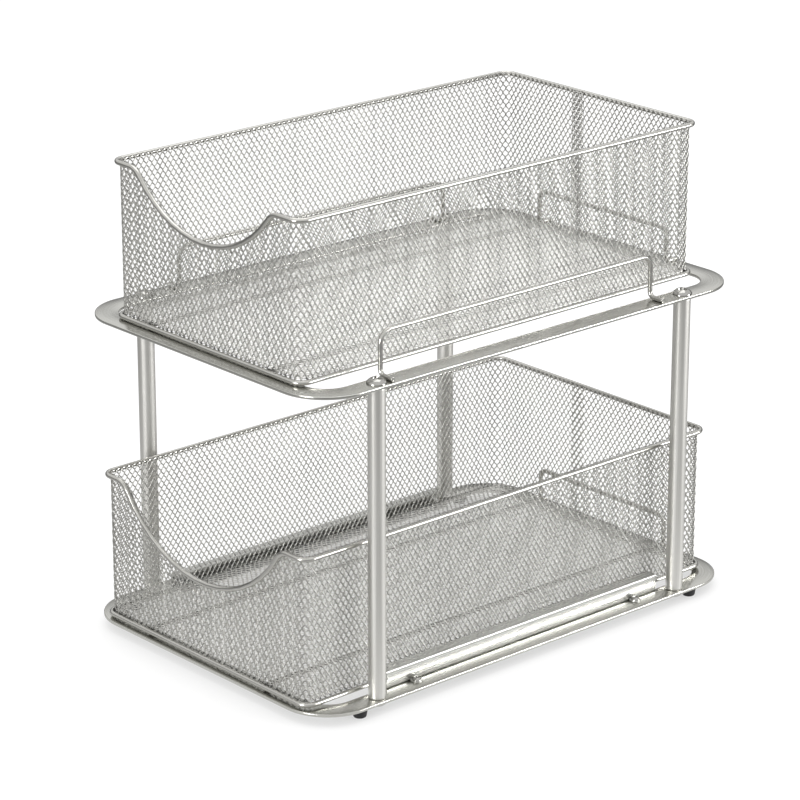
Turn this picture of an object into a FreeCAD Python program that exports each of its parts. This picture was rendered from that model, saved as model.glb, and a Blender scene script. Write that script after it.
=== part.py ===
"""Two-tier under sink organizer: a post and ring frame with two sliding mesh baskets.

Millimetres. X runs left to right, the scooped basket fronts face -Y, Z is up.
The origin is on the floor, under the middle of the frame.
"""
import FreeCAD, Part
import math
import os
import re

import Sketcher
from FreeCAD import Placement, Rotation, Vector

doc = FreeCAD.newDocument("UnderSinkOrganizer")
sheet = doc.addObject("Spreadsheet::Sheet", "Sizes")

SIZES = (
    ("frame_width", 236.2, "ring, left to right"),
    ("frame_length", 355.6, "ring, front to rear"),
    ("total_height", 311.15, "floor to the top of the upper basket"),
    ("strip_width", 15.0, "flat strip of both rings"),
    ("strip_thick", 2.0, "thickness of that strip"),
    ("ring_corner", 32.5, "outer corner radius of both rings"),
    ("post_diameter", 11.0, "outside of the post tube"),
    ("post_wall", 1.0, "wall of the post tube"),
    ("post_setback", 49.8, "end of the ring to the middle of a post"),
    ("insert_length", 12.0, "threaded plug in each end of a post"),
    ("post_screw_shank", 5.0, "screws that hold the posts to the rings"),
    ("post_screw_head", 12.5, "width of their dome head"),
    ("post_screw_rise", 4.0, "height of their dome head"),
    ("post_screw_grip", 10.0, "how far they reach into a post"),
    ("foot_height", 6.5, "rubber foot under the lower ring"),
    ("foot_top", 10.0, "its diameter under the strip"),
    ("foot_bottom", 8.0, "its diameter on the floor"),
    ("foot_offset", 14.0, "middle of a post to the middle of its foot"),
    ("guard_wire", 3.0, "wire of the guards"),
    ("side_guard_bend", 8.0, "bend at a side guard's top corners, on the wire's middle"),
    ("rear_guard_bend", 5.0, "the same bend at a rear guard's top corners"),
    ("guard_foot_bend", 3.5, "bend where a leg turns into its foot"),
    ("guard_foot_margin", 2.0, "end of a guard's foot to the outer edge of the strip"),
    ("side_guard_height", 30.0, "side guards above the upper ring"),
    ("side_guard_near", 8.2, "middle of a post to the near leg of a side guard"),
    ("side_guard_far", 23.0, "middle of the other post to the far leg"),
    ("rear_guard_height", 25.0, "rear guards above their ring"),
    ("rear_guard_side", 59.1, "side of the ring to the leg of a rear guard"),
    ("upper_guard_inset", 11.8, "end of the upper ring to its rear guard"),
    ("lower_guard_inset", 6.8, "end of the lower ring to its rear guard"),
    ("rail_sheet", 1.0, "sheet of the rails"),
    ("rail_height", 11.5, "rail above the strip"),
    ("rail_seat", 2.5, "strip's inner edge to the outer face of a rail's web"),
    ("rail_end_gap", 6.5, "end of a rail to the post beside it"),
    ("rail_ledge", 3.2, "rail floor beyond the inner side of the basket's rim"),
    ("tab_length", 7.0, "fixing tab of a rail, along the rail"),
    ("tab_width", 6.6, "fixing tab of a rail, out from its web"),
    ("tab_setback", 21.5, "end of a rail to the middle of a tab"),
    ("rail_screw_shank", 3.0, "screws of the rails"),
    ("rail_screw_head", 5.6, "width of their head"),
    ("rail_screw_rise", 2.2, "height of their head"),
    ("nut_flats", 5.5, "nuts under the strip, across flats"),
    ("nut_height", 2.4, "their height"),
    ("rim_wire", 3.2, "wire of the basket rims"),
    ("rim_corner", 9.0, "outer corner radius of the rims"),
    ("floor_wire", 3.0, "wires under the basket floors"),
    ("floor_wire_span", 114.0, "distance between the two wires under a floor"),
    ("mesh_thick", 0.8, "thickness of the mesh"),
    ("mesh_strand", 1.7, "width of a strand"),
    ("mesh_cell", 13.6, "width of one diamond in the walls"),
    ("mesh_rise", 15.2, "height of one diamond in the walls"),
    ("floor_cell", 20.0, "width and length of one diamond in the floors"),
    ("mesh_hem", 5.0, "plain border of a mesh panel"),
    ("upper_height", 101.5, "upper basket, over both rims"),
    ("upper_setback", 8.8, "front of the ring to the front of the upper basket"),
    ("upper_shoulder", 10.6, "rim corner to the start of the upper scoop"),
    ("upper_scoop", 33.0, "depth of the upper scoop"),
    ("lower_height", 97.0, "lower basket, over both rims"),
    ("lower_setback", 2.3, "front of the ring to the front of the lower basket"),
    ("lower_shoulder", 8.2, "rim corner to the start of the lower scoop"),
    ("lower_scoop", 44.0, "depth of the lower scoop"),
    ("scoop_fillet", 11.0, "rounding where a scoop meets the straight rim"),
    ("weld_gap", 0.05, "between pieces that are welded or pressed together"),
    ("seat_gap", 0.3, "under a basket, above what it slides on"),
    ("guard_gap", 1.5, "between a basket and the guard behind it"),
    ("upper_side_gap", 13.8, "between the upper basket and a side guard"),
    ("rail_side_gap", 5.0, "between the lower basket and the web of a rail"),
    ("lip_gap", 1.3, "between the lip of a rail and the basket's mesh"),
    ("hole_gap", 0.15, "between a screw and its hole, on each side"),
)
for row, (alias, number, meaning) in enumerate(SIZES, start=1):
    sheet.set(f"A{row}", meaning)
    sheet.set(f"B{row}", str(number))
    sheet.setAlias(f"B{row}", alias)
doc.recompute()

ALIASES = {alias for alias, number, meaning in SIZES}

# Places that several pieces share, each worked out from the sizes above.
POST_X = "(frame_width - strip_width) / 2"
POST_Y = "(frame_length / 2 - post_setback)"
STRIP_INNER_X = "(frame_width / 2 - strip_width)"
LOWER_TOP = "(foot_height + strip_thick)"
UPPER_TOP = "(total_height - upper_height - seat_gap)"
UPPER_UNDERSIDE = f"({UPPER_TOP} - strip_thick)"
SIDE_GUARD_X = f"({STRIP_INNER_X} + guard_wire / 2)"
SIDE_GUARD_NEAR = f"({POST_Y} - side_guard_near)"
SIDE_GUARD_FAR = f"({POST_Y} - side_guard_far)"
REAR_GUARD_X = "(frame_width / 2 - rear_guard_side)"
RAIL_WEB_X = f"({STRIP_INNER_X} + rail_seat)"
RAIL_HALF = f"({POST_Y} - post_diameter / 2 - rail_end_gap)"
TAB_X = f"({RAIL_WEB_X} + tab_width / 2)"
TAB_Y = f"({RAIL_HALF} - tab_setback)"
LOWER_HALF_WIDTH = f"({RAIL_WEB_X} - rail_sheet - rail_side_gap)"
UPPER_HALF_WIDTH = f"({STRIP_INNER_X} - upper_side_gap)"
SIDES = (("left", -1), ("right", 1))
ENDS = (("front", -1), ("rear", 1))

nodes = []


def formula(text):
    """The same words as an expression: every size name points at its cell."""
    return re.sub(r"[a-z_]+", lambda word: f"Sizes.{word[0]}" if word[0] in ALIASES else word[0], text)


def value(text):
    """The number that an expression stands for."""
    return float(sheet.evalExpression(formula(text)))


def tie(thing, **expressions):
    """Binds properties to the sheet; a double underscore in a name stands for a dot."""
    for name, text in expressions.items():
        thing.setExpression(name.replace("__", "."), formula(text))


def at(thing, x="0", y="0", z="0"):
    """Binds the place of a thing."""
    tie(thing, Placement__Base__x=x, Placement__Base__y=y, Placement__Base__z=z)
    return thing


def node(thing, label):
    """Marks a thing as one sub-part, under the name of its file."""
    thing.Label = label
    nodes.append(thing)
    return thing


def primitive(kind, name, **expressions):
    thing = doc.addObject(kind, name)
    tie(thing, **expressions)
    return thing


def cut(name, base, tool):
    result = doc.addObject("Part::Cut", name)
    result.Base = base
    result.Tool = tool
    return result


def fuse(name, *things):
    result = doc.addObject("Part::MultiFuse", name)
    result.Shapes = list(things)
    return result


def ring_solid(name, outside, bore, height):
    """A round tube: one cylinder cut from another that stands on the same plane."""
    outer = primitive("Part::Cylinder", f"{name}_outer", Radius=f"({outside}) / 2", Height=height)
    inner = primitive("Part::Cylinder", f"{name}_bore", Radius=f"({bore}) / 2", Height=height)
    return cut(name, outer, inner)


# Sketches, with every position and size tied to the sheet.

def new_sketch(body, name, role):
    plane = next(feature for feature in body.Origin.OriginFeatures if feature.Role == role)
    sketch = body.newObject("Sketcher::SketchObject", name)
    sketch.AttachmentSupport = (plane, [""])
    sketch.MapMode = "FlatFace"
    return sketch


def dimension(sketch, text, kind, *where):
    """Adds one dimension whose number comes from an expression."""
    index = sketch.addConstraint(Sketcher.Constraint(kind, *where, value(text)))
    sketch.setExpression(f"Constraints[{index}]", formula(text))


def pin_point(sketch, geometry, end, x, y):
    """Fixes one end of a line, or the centre of a circle, from the sketch's origin."""
    dimension(sketch, x, "DistanceX", -1, 1, geometry, end)
    dimension(sketch, y, "DistanceY", -1, 1, geometry, end)


def outline(sketch, corners):
    """A closed straight-sided outline through the given corners."""
    points = [Vector(value(x), value(y), 0) for x, y in corners]
    sides = []
    for start, end in zip(points, points[1:] + points[:1]):
        sides.append(sketch.addGeometry(Part.LineSegment(start, end), False))
    for side, following in zip(sides, sides[1:] + sides[:1]):
        sketch.addConstraint(Sketcher.Constraint("Coincident", side, 2, following, 1))
    for side, (x, y) in zip(sides, corners):
        pin_point(sketch, side, 1, x, y)


def round_hole(sketch, x, y, diameter):
    circle = Part.Circle(Vector(value(x), value(y), 0), Vector(0, 0, 1), value(diameter) / 2)
    index = sketch.addGeometry(circle, False)
    pin_point(sketch, index, 3, x, y)
    dimension(sketch, diameter, "Diameter", index)


def rounded_rectangle(sketch, width, length, radius):
    """Four sides and four tangent corner arcs, centred on the origin."""
    half_x = value(width) / 2
    half_y = value(length) / 2
    bend = value(radius)
    corner_signs = ((1, -1), (1, 1), (-1, 1), (-1, -1))
    sides = []
    arcs = []
    for turn, (sign_x, sign_y) in enumerate(corner_signs):
        centre = Vector(sign_x * (half_x - bend), sign_y * (half_y - bend), 0)
        circle = Part.Circle(centre, Vector(0, 0, 1), bend)
        start_angle = (turn - 1) * math.pi / 2
        quarter = Part.ArcOfCircle(circle, start_angle, start_angle + math.pi / 2)
        arcs.append(sketch.addGeometry(quarter, False))
    for turn in range(4):
        start = sketch.getPoint(arcs[turn], 2)
        end = sketch.getPoint(arcs[(turn + 1) % 4], 1)
        sides.append(sketch.addGeometry(Part.LineSegment(start, end), False))
    for turn in range(4):
        sketch.addConstraint(Sketcher.Constraint("Tangent", arcs[turn], 2, sides[turn], 1))
        sketch.addConstraint(Sketcher.Constraint("Tangent", sides[turn], 2, arcs[(turn + 1) % 4], 1))
        sketch.addConstraint(Sketcher.Constraint("Vertical" if turn % 2 == 0 else "Horizontal", sides[turn]))
    for turn in range(1, 4):
        sketch.addConstraint(Sketcher.Constraint("Equal", arcs[0], arcs[turn]))
    dimension(sketch, radius, "Radius", arcs[0])
    right, rear, left, front = sides
    dimension(sketch, f"({width}) / 2", "DistanceX", -1, 1, right, 1)
    dimension(sketch, f"({width}) / 2", "DistanceX", left, 1, -1, 1)
    dimension(sketch, f"({length}) / 2", "DistanceY", -1, 1, rear, 1)
    dimension(sketch, f"({length}) / 2", "DistanceY", front, 1, -1, 1)


def new_body(label, x="0", y="0", z="0", turn=0):
    body = doc.addObject("PartDesign::Body", label)
    body.Placement = Placement(Vector(0, 0, 0), Rotation(Vector(0, 0, 1), turn))
    at(body, x, y, z)
    return node(body, label)


def pad(body, name, sketch, length, sides="One side"):
    feature = body.newObject("PartDesign::Pad", name)
    feature.Profile = sketch
    feature.SideType = sides
    tie(feature, Length=length)
    return feature


# Frame: rings, posts and feet.

def ring(label, z, rail_holes):
    """A flat strip ring with a hole over each post, and four more where rails are fixed."""
    body = new_body(label, z=z)
    sketch = new_sketch(body, f"{label}_outline", "XY_Plane")
    rounded_rectangle(sketch, "frame_width", "frame_length", "ring_corner")
    rounded_rectangle(
        sketch, "frame_width - 2 * strip_width", "frame_length - 2 * strip_width", "ring_corner - strip_width"
    )
    holes = [(POST_X, POST_Y, "post_screw_shank")]
    if rail_holes:
        holes.append((TAB_X, TAB_Y, "rail_screw_shank"))
    for x, y, shank in holes:
        for name, sign_x in SIDES:
            for end, sign_y in ENDS:
                round_hole(sketch, f"{sign_x} * ({x})", f"{sign_y} * ({y})", f"{shank} + 2 * hole_gap")
    pad(body, f"{label}_strip", sketch, "strip_thick")


def post(end, sign_y, side, sign_x):
    """A tube from the lower ring to the upper one."""
    label = f"post_{end}_{side}"
    tube = ring_solid(
        label, "post_diameter", "post_diameter - 2 * post_wall", f"{UPPER_UNDERSIDE} - {LOWER_TOP}"
    )
    at(tube, f"{sign_x} * ({POST_X})", f"{sign_y} * {POST_Y}", LOWER_TOP)
    node(tube, label)


def foot(end, sign_y, side, sign_x):
    """A tapered rubber foot, turned round its upright axis, under the strip."""
    label = f"foot_{end}_{side}"
    body = new_body(label, f"{sign_x} * ({POST_X})", f"{sign_y} * ({POST_Y} + foot_offset)")
    sketch = new_sketch(body, f"{label}_profile", "XZ_Plane")
    low_edge = ("foot_bottom / 2", "0")
    high_edge = ("foot_top / 2", "foot_height")
    outline(sketch, (("0", "0"), low_edge, high_edge, ("0", "foot_height")))
    turned = body.newObject("PartDesign::Revolution", f"{label}_turned")
    turned.Profile = sketch
    turned.ReferenceAxis = (sketch, ["V_Axis"])
    turned.Angle = 360


# Fasteners: one pattern of each kind, and a group of copies at every place.

# The cross recess: its span and the width of an arm as shares of the head, its depth as a share of the rise.
CROSS_SPAN = 0.5
CROSS_ARM = 0.12
CROSS_DEPTH = 0.45


def dome_screw(name, shank, reach, head, rise):
    """A dome head on the plane z = 0 with a cross recess, and a shank that points down."""
    ball = f"(({head}) ^ 2 / 4 + {rise} ^ 2) / (2 * {rise})"
    cap_angle = f"asin(({ball} - {rise}) / ({ball}))"
    dome = primitive("Part::Sphere", f"{name}_dome", Radius=ball, Angle1=cap_angle)
    at(dome, z=f"{rise} - {ball}")
    stem = primitive("Part::Cylinder", f"{name}_stem", Radius=f"{shank} / 2", Height=reach)
    at(stem, z=f"-({reach})")
    arms = []
    for index, (span_x, span_y) in enumerate(((CROSS_SPAN, CROSS_ARM), (CROSS_ARM, CROSS_SPAN))):
        arm = primitive(
            "Part::Box", f"{name}_arm{index}",
            Length=f"{head} * {span_x}", Width=f"{head} * {span_y}", Height=f"{rise} * {CROSS_DEPTH}",
        )
        at(arm, f"-{head} * {span_x} / 2", f"-{head} * {span_y} / 2", f"{rise} * (1 - {CROSS_DEPTH})")
        arms.append(arm)
    return cut(name, fuse(f"{name}_blank", dome, stem), fuse(f"{name}_cross", *arms))


def group(label, pattern, places):
    """One sub-part made of separate copies of a pattern, each at its own place."""
    copies = []
    for place in places:
        copy = pattern.Shape.copy()
        copy.Placement = place
        copies.append(copy)
    feature = doc.addObject("Part::Feature", label)
    feature.Shape = Part.makeCompound(copies)
    return node(feature, label)


def four_places(x, y, z, upside_down=False):
    """The same point on each side and at each end, as it is or turned over."""
    turn = Rotation(Vector(1, 0, 0), 180 if upside_down else 0)
    return [
        Placement(Vector(sign_x * value(x), sign_y * value(y), value(z)), turn)
        for name, sign_x in SIDES
        for end, sign_y in ENDS
    ]


def fasteners():
    post_screw = dome_screw(
        "post_screw", "post_screw_shank", "strip_thick + post_screw_grip",
        "post_screw_head", "post_screw_rise",
    )
    rail_screw = dome_screw(
        "rail_screw", "rail_screw_shank", "rail_sheet + strip_thick + nut_height",
        "rail_screw_head", "rail_screw_rise",
    )
    insert = ring_solid(
        "post_insert", "post_diameter - 2 * post_wall - 2 * weld_gap",
        "post_screw_shank + 2 * weld_gap", "insert_length",
    )
    hexagon = primitive(
        "Part::Prism", "nut_blank", Circumradius="nut_flats / 2 / cos(30)", Height="nut_height"
    )
    hexagon.Polygon = 6
    thread = primitive(
        "Part::Cylinder", "nut_thread", Radius="rail_screw_shank / 2 + weld_gap", Height="nut_height"
    )
    nut = cut("rail_nut", hexagon, thread)
    doc.recompute()
    group("post_top_screws", post_screw, four_places(POST_X, POST_Y, UPPER_TOP))
    group("post_bottom_screws", post_screw, four_places(POST_X, POST_Y, "foot_height", upside_down=True))
    lower_inserts = four_places(POST_X, POST_Y, LOWER_TOP)
    upper_inserts = four_places(POST_X, POST_Y, f"{UPPER_UNDERSIDE} - insert_length")
    group("post_inserts", insert, lower_inserts + upper_inserts)
    group("rail_screws", rail_screw, four_places(TAB_X, TAB_Y, f"{LOWER_TOP} + rail_sheet"))
    group("rail_nuts", nut, four_places(TAB_X, TAB_Y, "foot_height - nut_height"))


# Rails: a folded channel whose floor carries the basket's rim and whose lip holds it down.

def rail(side, turn):
    """The right rail; the left one is the same piece turned half round."""
    body = new_body(f"rail_{side}", z=LOWER_TOP, turn=turn)
    inner_side = f"({LOWER_HALF_WIDTH} - rim_wire)"
    ledge_edge = f"{inner_side} - rail_ledge"
    lip_edge = f"{inner_side} - weld_gap + lip_gap"
    web_inside = f"{RAIL_WEB_X} - rail_sheet"
    section = new_sketch(body, f"rail_{side}_section", "XZ_Plane")
    outline(section, (
        (ledge_edge, "0"),
        (RAIL_WEB_X, "0"),
        (RAIL_WEB_X, "rail_height"),
        (lip_edge, "rail_height"),
        (lip_edge, "rail_height - rail_sheet"),
        (web_inside, "rail_height - rail_sheet"),
        (web_inside, "rail_sheet"),
        (ledge_edge, "rail_sheet"),
    ))
    pad(body, f"rail_{side}_channel", section, f"2 * {RAIL_HALF}", "Symmetric")
    tabs = new_sketch(body, f"rail_{side}_tabs_outline", "XY_Plane")
    tab_end = f"{RAIL_WEB_X} + tab_width"
    for end, sign in ENDS:
        near = f"{sign} * {TAB_Y} - tab_length / 2"
        far = f"{sign} * {TAB_Y} + tab_length / 2"
        outline(tabs, ((RAIL_WEB_X, near), (tab_end, near), (tab_end, far), (RAIL_WEB_X, far)))
        round_hole(tabs, TAB_X, f"{sign} * {TAB_Y}", "rail_screw_shank + 2 * hole_gap")
    pad(body, f"rail_{side}_tabs", tabs, "rail_sheet")


# Bent wire: straight runs joined by tangent arcs, carried round by a circle.

def line(start, end):
    return Part.LineSegment(start, end).toShape()


def arc(start, middle, end):
    return Part.Arc(start, middle, end).toShape()


def bent_path(points, bends):
    """Edges along the points, each inner point rounded to its own bend radius."""
    edges = []
    begin = points[0]
    for before, corner, after, bend in zip(points, points[1:], points[2:], bends):
        back = (before - corner).normalize()
        ahead = (after - corner).normalize()
        half_angle = back.getAngle(ahead) / 2
        reach = bend / math.tan(half_angle)
        centre = corner + (back + ahead).normalize() * (bend / math.sin(half_angle))
        middle = centre + (corner - centre).normalize() * bend
        edges.append(line(begin, corner + back * reach))
        edges.append(arc(corner + back * reach, middle, corner + ahead * reach))
        begin = corner + ahead * reach
    edges.append(line(begin, points[-1]))
    return edges


def bent_wire(label, edges, diameter):
    """A round wire along the edges; its volume is held against section times length."""
    spine = Part.Wire(edges)
    first = edges[0]
    tangent = first.tangentAt(first.FirstParameter)
    circle = Part.Circle(first.valueAt(first.FirstParameter), tangent, diameter / 2)
    solid = spine.makePipeShell([Part.Wire(circle.toShape())], True, False)
    expected = math.pi * diameter ** 2 / 4 * spine.Length
    share = solid.Volume / expected
    print(f"{label}: {spine.Length:.1f} mm of wire, volume {share:.4f} of section times length")
    feature = doc.addObject("Part::Feature", label)
    feature.Shape = solid
    return node(feature, label)


def guard(label, legs, outward, ring_top, kind, foot_length):
    """A wire hoop: two legs and a top run, with each foot bent out over the strip."""
    wire = value("guard_wire")
    foot_z = value(ring_top) + wire / 2 + value("weld_gap")
    top_z = value(ring_top) + value(f"{kind}_guard_height") - wire / 2
    first, second = legs
    points = [
        Vector(*first, foot_z) + outward * foot_length,
        Vector(*first, foot_z),
        Vector(*first, top_z),
        Vector(*second, top_z),
        Vector(*second, foot_z),
        Vector(*second, foot_z) + outward * foot_length,
    ]
    foot_bend = value("guard_foot_bend")
    top_bend = value(f"{kind}_guard_bend")
    bent_wire(label, bent_path(points, (foot_bend, top_bend, top_bend, foot_bend)), wire)


def guards():
    """The side guards are one piece, turned half round for the other side; the rear guards are centred."""
    side_x = value(SIDE_GUARD_X)
    near_y = value(SIDE_GUARD_NEAR)
    far_y = value(SIDE_GUARD_FAR)
    side_foot = value(f"frame_width / 2 - guard_foot_margin - {SIDE_GUARD_X}")
    for side, sign in SIDES:
        legs = ((sign * side_x, -sign * near_y), (sign * side_x, sign * far_y))
        guard(f"upper_guard_{side}", legs, Vector(sign, 0, 0), UPPER_TOP, "side", side_foot)
    for tier, ring_top in (("upper", UPPER_TOP), ("lower", LOWER_TOP)):
        rear_x = value(REAR_GUARD_X)
        rear_y = value(f"frame_length / 2 - {tier}_guard_inset")
        rear_foot = value(f"{tier}_guard_inset - guard_foot_margin")
        legs = ((-rear_x, rear_y), (rear_x, rear_y))
        guard(f"{tier}_guard_rear", legs, Vector(0, 1, 0), ring_top, "rear", rear_foot)


# Mesh: a flat face with a staggered field of diamond holes, given its thickness.

def diamond_centres(low_u, high_u, low_v, high_v, cell_u, cell_v):
    """Centres of whole diamonds that fill a rectangle, and the pitch that fits it exactly."""
    count_u = max(1, round((high_u - low_u) / cell_u))
    count_v = max(1, round((high_v - low_v) / cell_v))
    pitch_u = (high_u - low_u) / count_u
    pitch_v = (high_v - low_v) / count_v
    centres = []
    for offset in (0.5, 1.0):
        spare = int(2 * offset) - 1
        for step_u in range(count_u - spare):
            for step_v in range(count_v - spare):
                centres.append((low_u + (step_u + offset) * pitch_u, low_v + (step_v + offset) * pitch_v))
    return centres, pitch_u, pitch_v


class Sheet:
    """A flat sheet's own directions: u across, v up, and its thickness along their cross product."""

    def __init__(self, origin, along_u, along_v):
        self.origin = origin
        self.along_u = along_u
        self.along_v = along_v
        self.normal = along_u.cross(along_v)

    def point(self, u, v):
        return self.origin + self.along_u * u + self.along_v * v

    def rectangle(self, low_u, high_u, low_v, high_v):
        corners = ((low_u, low_v), (high_u, low_v), (high_u, high_v), (low_u, high_v), (low_u, low_v))
        return Part.makePolygon([self.point(u, v) for u, v in corners])


def mesh_panel(label, sheet_plane, border, field, cell_u, cell_v, keep=None):
    """One holed face, thickened. The border runs counter-clockwise, each hole the other way round."""
    hem = value("mesh_hem")
    low_u, high_u, low_v, high_v = field
    centres, pitch_u, pitch_v = diamond_centres(
        low_u + hem, high_u - hem, low_v + hem, high_v - hem, cell_u, cell_v
    )
    strand_pitch = pitch_u * pitch_v / math.hypot(pitch_u, pitch_v)
    open_share = 1 - value("mesh_strand") / strand_pitch
    half_u = pitch_u / 2 * open_share
    half_v = pitch_v / 2 * open_share
    holes = []
    for u, v in centres:
        corners = ((u - half_u, v), (u, v + half_v), (u + half_u, v), (u, v - half_v))
        if keep and not all(keep(*corner) for corner in corners):
            continue
        points = [sheet_plane.point(*corner) for corner in corners]
        holes.append(Part.makePolygon(points + points[:1]))
    solid = Part.Face([border] + holes).extrude(sheet_plane.normal * value("mesh_thick"))
    hole_area = 2 * half_u * half_v * len(holes)
    expected = (Part.Face(border).Area - hole_area) * value("mesh_thick")
    print(f"{label}: {len(holes)} gaps, volume {solid.Volume / expected:.4f} of area times thickness")
    feature = doc.addObject("Part::Feature", label)
    feature.Shape = solid
    return node(feature, label)


# Baskets.

class Scoop:
    """The dip in a front rim: a large hollow arc between two small rounded shoulders."""

    def __init__(self, half_width, depth, fillet):
        self.half_width = half_width
        self.depth = depth
        self.fillet = fillet
        self.radius = (half_width ** 2 + depth ** 2) / (2 * depth) - fillet
        share = fillet / (self.radius + fillet)
        self.turn_x = half_width * (1 - share)
        self.turn_drop = fillet - share * (self.radius - depth + fillet)

    def drop(self, x):
        """How far the rim lies below its straight part at x."""
        across = abs(x)
        if across >= self.half_width:
            return 0.0
        if across >= self.turn_x:
            return self.fillet - math.sqrt(self.fillet ** 2 - (self.half_width - across) ** 2)
        return self.depth - self.radius + math.sqrt(self.radius ** 2 - across ** 2)

    def point(self, x, y, top):
        return Vector(x, y, top - self.drop(x))

    def edges(self, y, top):
        """Shoulder, hollow and shoulder, from left to right."""
        shoulder_x = (self.half_width + self.turn_x) / 2
        stops = (-self.half_width, -shoulder_x, -self.turn_x, 0.0, self.turn_x, shoulder_x, self.half_width)
        points = [self.point(x, y, top) for x in stops]
        return [arc(*points[0:3]), arc(*points[2:5]), arc(*points[4:7])]


class Basket:
    """The places of one basket: half width, front, rear and bottom of its outside."""

    def __init__(self, tier, half_width, bottom):
        self.tier = tier
        self.front_words = f"({tier}_setback - frame_length / 2)"
        self.rear_words = f"(frame_length / 2 - {tier}_guard_inset - guard_wire / 2 - guard_gap)"
        self.bottom_words = f"({bottom})"
        self.half_width = value(half_width)
        self.front = value(self.front_words)
        self.rear = value(self.rear_words)
        self.bottom = value(self.bottom_words)
        self.top = self.bottom + value(f"{tier}_height")
        self.wire = value("rim_wire")
        self.corner = value("rim_corner")
        self.scoop = Scoop(
            self.half_width - self.corner - value(f"{tier}_shoulder"),
            value(f"{tier}_scoop"), value("scoop_fillet"),
        )
        inset = self.wire + value("weld_gap")
        self.wall_x = self.half_width - inset
        self.wall_front = self.front + inset
        self.wall_rear = self.rear - inset
        self.wall_low = self.bottom + value("floor_wire") + value("weld_gap")
        self.wall_high = self.top - self.wire / 2

    def name(self, piece):
        return f"{self.tier}_{piece}"

    def rim_corners(self, z):
        """Corners of a rim on the wire's middle, from the front right one round to the front left."""
        inset = self.wire / 2
        x = self.half_width - inset
        front = self.front + inset
        rear = self.rear - inset
        return [Vector(x, front, z), Vector(x, rear, z), Vector(-x, rear, z), Vector(-x, front, z)]

    def rims(self):
        bends = (self.corner - self.wire / 2,) * 4
        low = self.rim_corners(self.bottom + self.wire / 2)
        middle = (low[0] + low[3]) / 2
        bent_wire(self.name("bottom_rim"), bent_path([middle] + low + [middle], bends), self.wire)
        high = self.rim_corners(self.wall_high)
        front = high[0].y
        dip = self.scoop.edges(front, self.wall_high)
        right_end = self.scoop.point(self.scoop.half_width, front, self.wall_high)
        left_end = self.scoop.point(-self.scoop.half_width, front, self.wall_high)
        loop = bent_path([right_end] + high + [left_end], bends)
        bent_wire(self.name("top_rim"), loop + dip, self.wire)

    def floor_wires(self):
        """Two straight wires between the front and rear bottom rim."""
        for side, sign in SIDES:
            label = self.name(f"floor_wire_{side}")
            wire = primitive(
                "Part::Cylinder", label, Radius="floor_wire / 2",
                Height=f"{self.rear_words} - {self.front_words} - 2 * (rim_wire + weld_gap)",
            )
            wire.Placement = Placement(Vector(0, 0, 0), Rotation(Vector(1, 0, 0), -90))
            at(
                wire, f"{sign} * floor_wire_span / 2", f"{self.front_words} + rim_wire + weld_gap",
                f"{self.bottom_words} + floor_wire / 2",
            )
            node(wire, label)

    def walls(self):
        """Four upright panels inside the rims, the front one cut down along the scoop."""
        cells = (value("mesh_cell"), value("mesh_rise"))
        up = Vector(0, 0, 1)
        round_off = self.corner + value("weld_gap")
        end_x = self.half_width - round_off
        end_front = self.front + round_off
        end_rear = self.rear - round_off
        low, high = self.wall_low, self.wall_high
        thick = value("mesh_thick")

        lengthwise = (-end_rear, -end_front, low, high)
        for side, x in (("left", thick - self.wall_x), ("right", self.wall_x)):
            plane = Sheet(Vector(x, 0, 0), Vector(0, -1, 0), up)
            mesh_panel(self.name(f"mesh_{side}"), plane, plane.rectangle(*lengthwise), lengthwise, *cells)

        crosswise = (-end_x, end_x, low, high)
        plane = Sheet(Vector(0, self.wall_rear - thick, 0), Vector(-1, 0, 0), up)
        mesh_panel(self.name("mesh_rear"), plane, plane.rectangle(*crosswise), crosswise, *cells)

        plane = Sheet(Vector(0, self.wall_front, 0), Vector(-1, 0, 0), up)
        dip = self.scoop.edges(self.wall_front, high)
        sides = ((-self.scoop.half_width, high), (-end_x, high), (-end_x, low),
                 (end_x, low), (end_x, high), (self.scoop.half_width, high))
        border = Part.Wire(Part.makePolygon([plane.point(u, v) for u, v in sides]).Edges + dip)
        hem = value("mesh_hem")
        mesh_panel(
            self.name("mesh_front"), plane, border, crosswise, *cells,
            keep=lambda u, v: v <= high - self.scoop.drop(u) - hem,
        )

    def corners(self):
        """Four upright quarter rounds between the wall panels."""
        outer = self.corner - self.wire - value("weld_gap")
        inner = outer - value("mesh_thick")
        height = self.wall_high - self.wall_low
        centre_x = self.half_width - self.corner
        centre_front = self.front + self.corner
        centre_rear = self.rear - self.corner
        up = Vector(0, 0, 1)
        solids = []
        for x, y, turn in (
            (centre_x, centre_rear, 0), (-centre_x, centre_rear, 90),
            (-centre_x, centre_front, 180), (centre_x, centre_front, 270),
        ):
            base = Vector(x, y, self.wall_low)
            quarter = Part.makeCylinder(outer, height, base, up, 90)
            hollow = Part.makeCylinder(inner, height, base, up, 90)
            corner = quarter.cut(hollow)
            corner.rotate(base, up, turn)
            solids.append(corner)
        feature = doc.addObject("Part::Feature", self.name("mesh_corners"))
        feature.Shape = Part.makeCompound(solids)
        node(feature, self.name("mesh_corners"))

    def floor(self):
        """The floor panel, inside the walls and on the floor wires."""
        inset = value("mesh_thick + weld_gap")
        x = self.wall_x - inset
        front = self.wall_front + inset
        rear = self.wall_rear - inset
        bend = self.corner - self.wire - value("mesh_thick + 2 * weld_gap")
        plane = Sheet(Vector(0, 0, self.wall_low), Vector(1, 0, 0), Vector(0, 1, 0))
        corners = ((0, front), (x, front), (x, rear), (-x, rear), (-x, front), (0, front))
        border = Part.Wire(bent_path([plane.point(u, v) for u, v in corners], (bend,) * 4))
        cell = value("floor_cell")
        mesh_panel(self.name("mesh_floor"), plane, border, (-x, x, front, rear), cell, cell)

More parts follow.
